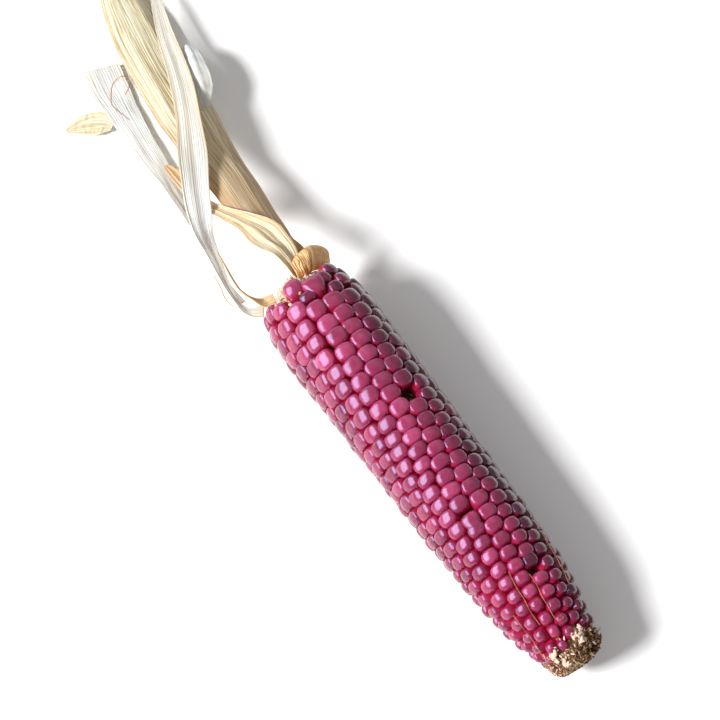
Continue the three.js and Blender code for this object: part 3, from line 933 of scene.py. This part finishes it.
chaff_dry = dry_chaff()
chaff_random = random.Random(CHAFF_SEED)
chaff = new_chaff()
hollow_x, hollow_angle = HOLLOW_AT
for _ in range(CRUMB_COUNT):
    angle = chaff_random.uniform(0, 2 * math.pi)
    reach = LEFT_REACH if math.sin(angle) > 0 else RIGHT_REACH
    x = CHAFF_END - reach * chaff_random.random() ** 1.2
    radius = chaff_radius(x) * chaff_random.uniform(0.75, 1.05)
    size = chaff_random.uniform(*CRUMB_SIZES)
    near_hollow = abs(x - hollow_x) < HOLLOW_HALF_LENGTH
    # Painted shade: crumbs in the hollow sink by its depth and take the darkest tone
    if near_hollow and abs(angle - hollow_angle) < HOLLOW_HALF_ANGLE:
        radius -= HOLLOW_DEPTH
        tone = 0.0
    # Painted shade: crumbs on the side turned from the sunlight take the dark tones
    elif math.cos(angle - SHADED_SIDE) > 0.1:
        tone = chaff_random.choice(SHADED_SIDE_TONES)
    else:
        tone = chaff_random.choice(SUNLIT_SIDE_TONES)
    add_crumb(chaff, on_ear(x, angle, radius), size, tone, flatness=0.8, longness=1.2)
for lump_x, turn, radius, spread, round_spread in LUMPS:
    for _ in range(CRUMBS_IN_LUMP):
        x = lump_x + spread * chaff_random.uniform(-1, 1)
        angle = math.radians(turn) + round_spread * chaff_random.uniform(-1, 1) / radius
        place = on_ear(x, angle, radius + chaff_random.uniform(-0.5, 0.4))
        size = chaff_random.uniform(1.0, 1.7)
        tone = chaff_random.uniform(0.75, 1.0)
        add_crumb(chaff, place, size, tone, flatness=0.8, longness=1.3)

# Torn scales that stand round the last grains and round the hollow
scatter(
    chaff, count=60, between=(143.5, 149.5), degrees=(-110, 80), base=chaff_radius,
    above=(-0.2, 0.7), sizes=(0.8, 1.4), shades=[0.3, 0.45, 0.6, 0.8],
    flatness=0.3, longness=1.9,
)

# Chaff in the pit of the grain that is missing, deep, in the darkest tones: partly its olive brown
# and partly painted shade of the pit
pit_row, pit_x = MISSING
pit_degrees = math.degrees(row_angle(pit_row, pit_x))
scatter(
    chaff, count=16, between=(pit_x - PIT_HALF_LENGTH, pit_x + PIT_HALF_LENGTH),
    degrees=(pit_degrees - PIT_HALF_ANGLE, pit_degrees + PIT_HALF_ANGLE),
    base=lambda x: PIT_FLOOR, above=(0, 2.4), sizes=(0.9, 1.8), shades=[0.0, 0.08, 0.2],
)
add_piece("tip_crumbs", chaff, chaff_dry, replaced=["tip_chaff"])

# The same chaff, cream and soft, on the butt and under its first grains
fluff = new_chaff()
scatter(
    fluff, count=280, between=(3.2, 9.6), degrees=(-110, 62), base=cob_radius,
    above=(-0.3, 1.0), sizes=(0.8, 2.0), shades=[0.7, 0.8, 0.9, 1.0],
    flatness=0.5, longness=1.3,
)
scatter(
    fluff, count=24, between=(9.5, 14.5), degrees=(-64, -6), base=crown_radius,
    above=(-1.4, -2.4), sizes=(0.8, 1.7), shades=[0.6, 0.8, 1.0],
)
add_piece("butt_fluff", fluff, chaff_dry)


# The silks
# A few dry threads left in the furrows near the tip, orange brown and finer than a hair
# brush's bristle, and two more that cling to the husk.
SILK_RADIUS = 0.1
SILK_SHADE_LENGTH = 3.33
# Each silk runs through (place along the ear, place between rows, lift off the grains)
SILKS = {
    "silk_right": [
        (115, 4.45, 0.0), (118, 4.55, -0.2), (121, 4.4, 0.1), (124, 4.55, 0.0), (126, 4.4, 0.3),
        (128, 4.55, 0.2), (130, 4.4, 0.2), (132, 4.5, 0.0),
    ],
    "silk_upper": [
        (124, 2.4, 0.0), (128, 2.55, -0.4), (131, 2.45, -0.2), (134, 2.55, -0.3), (137, 2.5, 0.0),
        (139, 2.6, 0.4), (139.6, 2.85, 0.5), (139, 3.05, 0.3),
    ],
    "silk_middle": [
        (120, 1.5, -0.3), (125, 1.45, -0.5), (129, 1.55, -0.5), (133, 1.45, -0.4),
        (137, 1.55, -0.2),
    ],
    "silk_lower": [
        (130, 0.5, -0.3), (134, 0.45, -0.4), (138, 0.5, -0.4), (141, 0.4, 0.0), (144, 0.25, 0.3),
    ],
}
HUSK_THREAD_RADIUS = 0.17
HUSK_THREADS = {
    "silk_hook": [
        (-85.6, -7.6, 7.6), (-92.8, -9.7, 8.4), (-94.1, -9.7, 8.6), (-97.0, -7.9, 9.0),
        (-100.0, -5.6, 9.4), (-100.5, -3.5, 10.0), (-100.7, -1.4, 10.6), (-99.2, -0.3, 10.8),
        (-96.6, -0.3, 10.6), (-95.1, -1.7, 10.0), (-94.2, -4.0, 9.2),
    ],
    "husk_thread": [
        (-2.8, -18.2, 12.8), (-4.3, -18.8, 12.4), (-6.0, -19.2, 12.2), (-7.9, -19.3, 12.2),
        (-9.3, -19.1, 12.4), (-11.8, -18.4, 13.0), (-13.8, -18.2, 13.4), (-16.0, -18.1, 14.0),
    ],
}


def dry_silk():
    """Dry corn silk: a fine thread, orange brown with a slight gloss."""
    material, tree, shader = new_material("dry_silk")
    place = add_node(tree, "TexCoord").outputs["Object"]
    shades = add_node(tree, "TexNoise", {"Vector": place, "Scale": scale_of(SILK_SHADE_LENGTH)})
    colour = add_node(
        tree, "ValToRGB", {"Fac": shades.outputs["Fac"]},
        stops=[(0.35, "7A4820"), (0.65, "B67C42")],
    )
    tree.links.new(colour.outputs["Color"], shader.inputs["Base Color"])
    shader.inputs["Roughness"].default_value = 0.5
    return material


def add_thread(name, node, route, radius=SILK_RADIUS):
    """A fine round thread along a route in the ear's own millimetres."""
    curve = bpy.data.curves.new(name, "CURVE")
    curve.dimensions = "3D"
    curve.bevel_depth = radius * MM
    curve.bevel_resolution = 2
    spline = curve.splines.new("NURBS")
    spline.points.add(len(route) - 1)
    for point, place in zip(spline.points, route):
        point.co = (*(ear_place @ Vector(place)), 1)
    spline.use_endpoint_u = True
    spline.order_u = 3
    curve.materials.append(silk)
    thread = bpy.data.objects.new(name, curve)
    bpy.context.scene.collection.objects.link(thread)
    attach(thread, "root")
    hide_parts(node)


silk = dry_silk()
for node, route in SILKS.items():
    places = [on_ear(x, row_angle(place, x), crown_radius(x) + lift) for x, place, lift in route]
    add_thread("dry_" + node, node, places)
for node, route in HUSK_THREADS.items():
    add_thread("dry_" + node, node, route, HUSK_THREAD_RADIUS)


# The floor and the light
# A plain white table in a pale room. The sun comes from the left of the picture and throws
# the shadows. The window, the wall and the ceiling only show in what is glossy.
FLOOR_SIZE = 6.0
floor_mesh = bpy.data.meshes.new("floor")
floor_shape = bmesh.new()
bmesh.ops.create_grid(floor_shape, x_segments=1, y_segments=1, size=FLOOR_SIZE / 2)
floor_shape.to_mesh(floor_mesh)
floor_shape.free()
floor = bpy.data.objects.new("floor", floor_mesh)
floor_paint, _, floor_shader = new_material("white_table")
floor_shader.inputs["Base Color"].default_value = linear("FCFCFC")
floor_shader.inputs["Roughness"].default_value = 0.9
floor_shader.inputs["Specular IOR Level"].default_value = 0.1
floor_mesh.materials.append(floor_paint)
bpy.context.scene.collection.objects.link(floor)


def add_lamp(name, direction, distance, size, power, colour):
    """An oblong lamp, wide and high as size says, that faces the ear from a direction."""
    lamp = bpy.data.lights.new(name, "AREA")
    lamp.shape = "RECTANGLE"
    lamp.size, lamp.size_y = size
    lamp.energy = power
    lamp.color = linear(colour)[:3]
    placed = bpy.data.objects.new(name, lamp)
    direction = Vector(direction).normalized()
    placed.location = ear_place @ AIMED_AT + direction * distance
    placed.rotation_euler = direction.to_track_quat("Z", "Y").to_euler()
    bpy.context.scene.collection.objects.link(placed)
    return placed


sunlight = add_lamp(
    "sunlight", direction=(-0.17, -1.0, 0.88), distance=1.6, size=(0.46, 0.4), power=46,
    colour="FFFFFF",
)
sunlight.visible_glossy = False
window = add_lamp(
    "window", direction=(-0.33, -0.9, 0.7), distance=1.3, size=(1.55, 0.95), power=49,
    colour="C6D0FF",
)
bright_wall = add_lamp(
    "bright_wall", direction=(-1.0, 0.1, 0.35), distance=1.3, size=(1.4, 0.6), power=4,
    colour="DCE6FF",
)
pale_ceiling = add_lamp(
    "pale_ceiling", direction=(-0.5, 0.35, 1.0), distance=1.3, size=(1.0, 0.8), power=1.2,
    colour="D8E2FF",
)
for lamp in (window, bright_wall, pale_ceiling):
    lamp.visible_diffuse = False
world = bpy.data.worlds.new("pale_room")
world.use_nodes = True
world.node_tree.nodes["Background"].inputs["Color"].default_value = linear("FAF8F8")
world.node_tree.nodes["Background"].inputs["Strength"].default_value = 0.42
bpy.context.scene.world = world
bpy.context.scene.view_settings.view_transform = "Standard"
